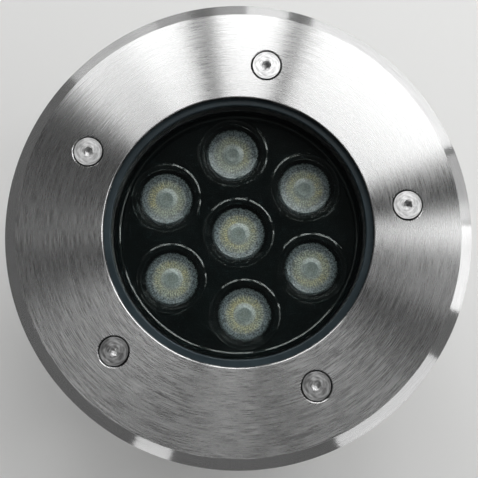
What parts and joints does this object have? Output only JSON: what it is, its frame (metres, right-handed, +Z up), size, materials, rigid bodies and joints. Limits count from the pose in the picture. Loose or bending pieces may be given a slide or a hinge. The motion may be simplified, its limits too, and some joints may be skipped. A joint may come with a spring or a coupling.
{
  "type": "in ground well light",
  "caption": "Round recessed ground light with a stainless face ring, flat glass, frosted LED lenses, finned housing and a plastic ground sleeve.",
  "frame": {"origin": "bottom centre of the ground sleeve's foot", "axes": "+Z up out of the ground through the glass; +Y is the top of the picture; the cable arches face +X and -X"},
  "size_m": [0.16, 0.16, 0.1225],
  "materials": {
    "brushed_stainless": "turned and brushed in circles",
    "stainless_fastener": "cold-headed, satin",
    "cast_aluminium": "die-cast, black powder coat",
    "clear_glass": "toughened, polished",
    "grey_silicone": "moulded, smooth",
    "black_plate": "moulded, satin",
    "frosted_lens": "frosted front, clear flange",
    "led_phosphor": "silicone over phosphor",
    "board_white": "white solder mask",
    "thermal_pad_grey": "soft gap filler",
    "zinc_screw": "zinc plated",
    "black_rubber": "moulded",
    "wire_red": "insulation",
    "wire_black": "insulation",
    "wire_brown": "insulation",
    "wire_blue": "insulation",
    "driver_plastic": "moulded",
    "potting_resin": "poured resin",
    "terminal_plastic": "moulded",
    "brass": "drawn",
    "gland_nylon": "moulded",
    "sleeve_plastic": "moulded, fine spark texture"
  },
  "bodies": {
    "sleeve": {"mounting_sleeve": "sleeve_plastic"},
    "lamp": {"housing": "cast_aluminium", "back_cover": "cast_aluminium", "glass_lens": "clear_glass", "glass_gasket": "grey_silicone", "cover_plate": "black_plate", "led_board": "board_white", "thermal_pad": "thermal_pad_grey", "board_screws": "zinc_screw", "wire_grommet": "black_rubber", "output_wire_positive": "wire_red", "output_wire_negative": "wire_black", "driver_case": "driver_plastic", "driver_potting": "potting_resin", "driver_screws": "zinc_screw", "terminal_block": "terminal_plastic", "terminal_clamps": "brass", "terminal_screw": "zinc_screw", "supply_wire_live": "wire_brown", "supply_wire_neutral": "wire_blue", "back_cover_gasket": "black_rubber", "back_cover_screws": "stainless_fastener", "gland_body": "gland_nylon", "gland_locknut": "gland_nylon", "gland_nut": "gland_nylon", "gland_washer": "black_rubber", "gland_seal": "black_rubber", "body_ring": "black_rubber", "optic_1": "frosted_lens", "lens_holder_1": "black_plate", "led_1": "led_phosphor", "optic_2": "frosted_lens", "lens_holder_2": "black_plate", "led_2": "led_phosphor", "optic_3": "frosted_lens", "lens_holder_3": "black_plate", "led_3": "led_phosphor", "optic_4": "frosted_lens", "lens_holder_4": "black_plate", "led_4": "led_phosphor", "optic_5": "frosted_lens", "lens_holder_5": "black_plate", "led_5": "led_phosphor", "optic_6": "frosted_lens", "lens_holder_6": "black_plate", "led_6": "led_phosphor", "optic_7": "frosted_lens", "lens_holder_7": "black_plate", "led_7": "led_phosphor"},
    "trim": {"trim_ring": "brushed_stainless"},
    "screw_1": {"trim_screw_1": "stainless_fastener"},
    "screw_2": {"trim_screw_2": "stainless_fastener"},
    "screw_3": {"trim_screw_3": "stainless_fastener"},
    "screw_4": {"trim_screw_4": "stainless_fastener"},
    "screw_5": {"trim_screw_5": "stainless_fastener"}
  },
  "joints": [
    {"name": "lamp_lift", "type": "slide", "parent": "sleeve", "child": "lamp", "axis": [0, 0, 1], "range_m": [0, 0.12]},
    {"name": "trim_lift", "type": "slide", "parent": "lamp", "child": "trim", "axis": [0, 0, 1], "range_m": [0, 0.0075]},
    {"name": "screw_1_turn", "type": "hinge", "parent": "trim", "child": "screw_1", "pos_m": [0.05738, 0.00847, 0.1225], "axis": [0, 0, 1], "range_deg": [0, 3380]},
    {"name": "screw_2_turn", "type": "hinge", "parent": "trim", "child": "screw_2", "pos_m": [0.00967, 0.05719, 0.1225], "axis": [0, 0, 1], "range_deg": [0, 3380]},
    {"name": "screw_3_turn", "type": "hinge", "parent": "trim", "child": "screw_3", "pos_m": [-0.0514, 0.02687, 0.1225], "axis": [0, 0, 1], "range_deg": [0, 3380]},
    {"name": "screw_4_turn", "type": "hinge", "parent": "trim", "child": "screw_4", "pos_m": [-0.04144, -0.04058, 0.1225], "axis": [0, 0, 1], "range_deg": [0, 3380]},
    {"name": "screw_5_turn", "type": "hinge", "parent": "trim", "child": "screw_5", "pos_m": [0.02579, -0.05195, 0.1225], "axis": [0, 0, 1], "range_deg": [0, 3380]}
  ],
  "couplings": [
    {"joint": "screw_1_turn", "follows": "trim_lift", "rad_per_m": 7854},
    {"joint": "screw_2_turn", "follows": "trim_lift", "rad_per_m": 7854},
    {"joint": "screw_3_turn", "follows": "trim_lift", "rad_per_m": 7854},
    {"joint": "screw_4_turn", "follows": "trim_lift", "rad_per_m": 7854},
    {"joint": "screw_5_turn", "follows": "trim_lift", "rad_per_m": 7854}
  ]
}
